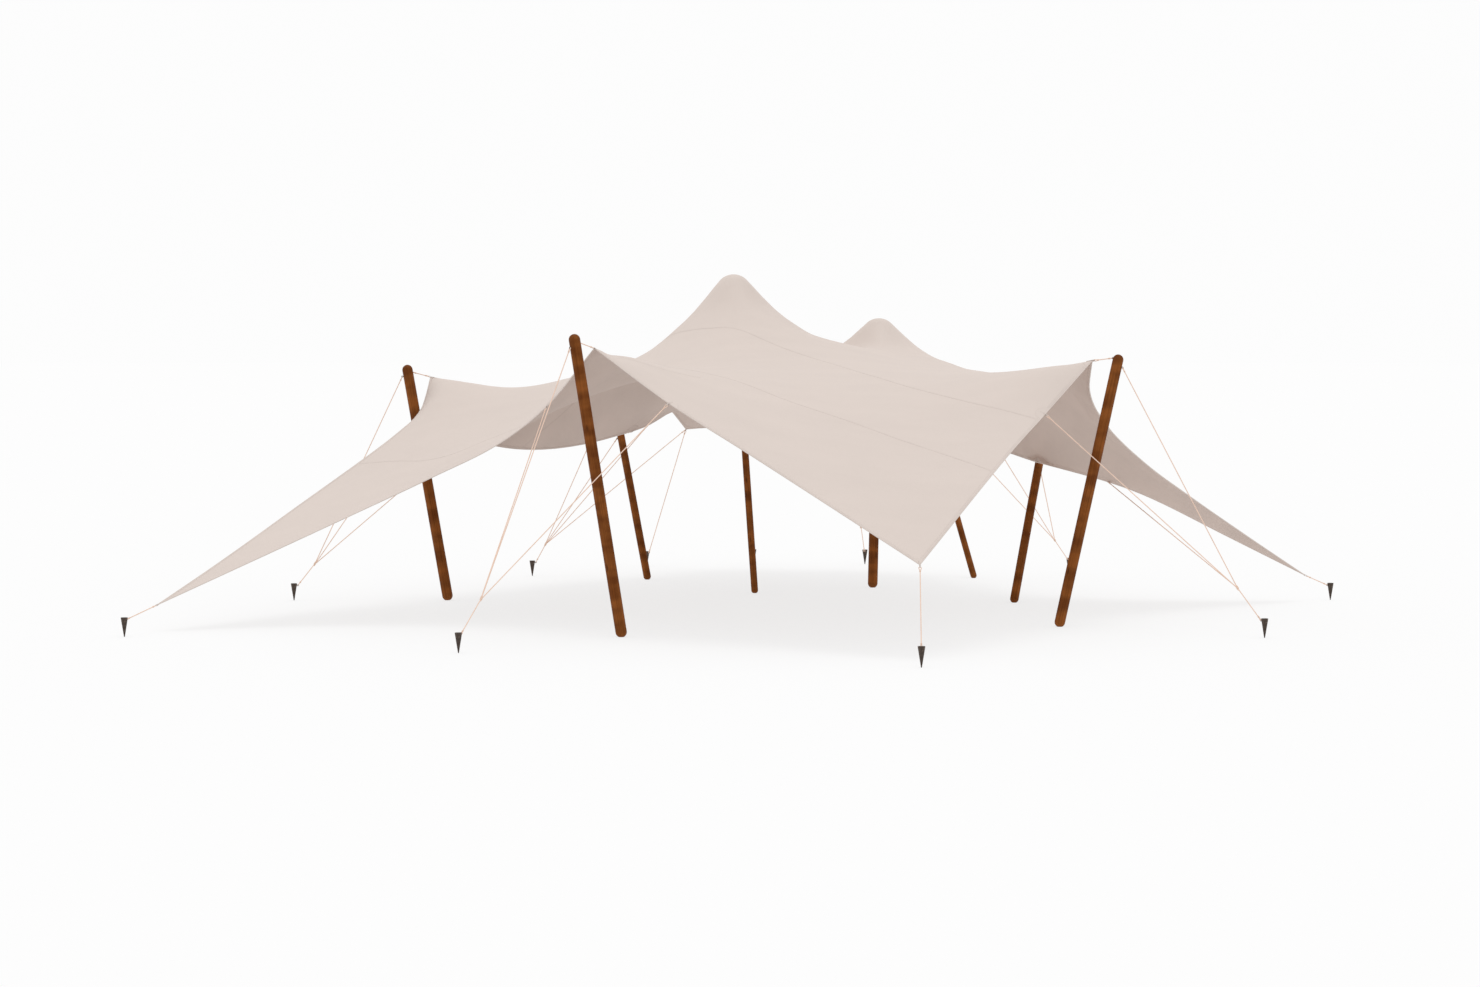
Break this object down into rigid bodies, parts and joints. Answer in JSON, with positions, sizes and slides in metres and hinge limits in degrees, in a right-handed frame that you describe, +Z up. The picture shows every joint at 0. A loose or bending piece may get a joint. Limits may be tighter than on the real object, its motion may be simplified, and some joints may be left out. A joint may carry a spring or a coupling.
{
  "type": "stretch tent",
  "caption": "Open-sided stretch tent: a tensioned fabric sheet over centre poles and leaning outer poles, roped to cone stakes.",
  "frame": {"origin": "on the ground, in the middle of the plan of the whole pitch with its stakes", "axes": "+Z up, +X from the left wing to the right wing, +Y from the front corner to the back corner"},
  "size_m": [12.026, 12.006, 3.47],
  "materials": {
    "sheet_fabric": "matt beige stretch weave",
    "pole_wood": "oiled brown wood",
    "stake_steel": "dark brown-grey, rough",
    "pad_rubber": "matt black",
    "rope_fibre": "laid pinkish-beige rope"
  },
  "bodies": {
    "root": {"canopy": "sheet_fabric", "centre_pole_short": "pole_wood", "centre_pole_tall": "pole_wood", "corner_rope_back_tie": "rope_fibre", "corner_rope_corner_back": "rope_fibre", "corner_rope_corner_front": "rope_fibre", "corner_rope_corner_left": "rope_fibre", "corner_rope_corner_right": "rope_fibre", "crown_pad_short": "pad_rubber", "crown_pad_tall": "pad_rubber", "guy_a": "rope_fibre", "guy_b": "rope_fibre", "guy_c": "rope_fibre", "guy_f": "rope_fibre", "guy_g": "rope_fibre", "guy_h": "rope_fibre", "head_tie_a": "rope_fibre", "head_tie_b": "rope_fibre", "head_tie_c": "rope_fibre", "head_tie_f": "rope_fibre", "head_tie_g": "rope_fibre", "head_tie_h": "rope_fibre", "outer_pole_a": "pole_wood", "outer_pole_b": "pole_wood", "outer_pole_c": "pole_wood", "outer_pole_f": "pole_wood", "outer_pole_g": "pole_wood", "outer_pole_h": "pole_wood", "stake_a": "stake_steel", "stake_b": "stake_steel", "stake_back_tie": "stake_steel", "stake_c": "stake_steel", "stake_corner_back": "stake_steel", "stake_corner_front": "stake_steel", "stake_corner_left": "stake_steel", "stake_corner_right": "stake_steel", "stake_f": "stake_steel", "stake_g": "stake_steel", "stake_h": "stake_steel", "strand_a_left": "rope_fibre", "strand_a_right": "rope_fibre", "strand_b_left": "rope_fibre", "strand_b_right": "rope_fibre", "strand_c_back": "rope_fibre", "strand_c_left": "rope_fibre", "strand_c_right": "rope_fibre", "strand_f_left": "rope_fibre", "strand_g_far": "rope_fibre", "strand_g_near": "rope_fibre", "strand_h_left": "rope_fibre", "strand_h_right": "rope_fibre"}
  },
  "joints": []
}
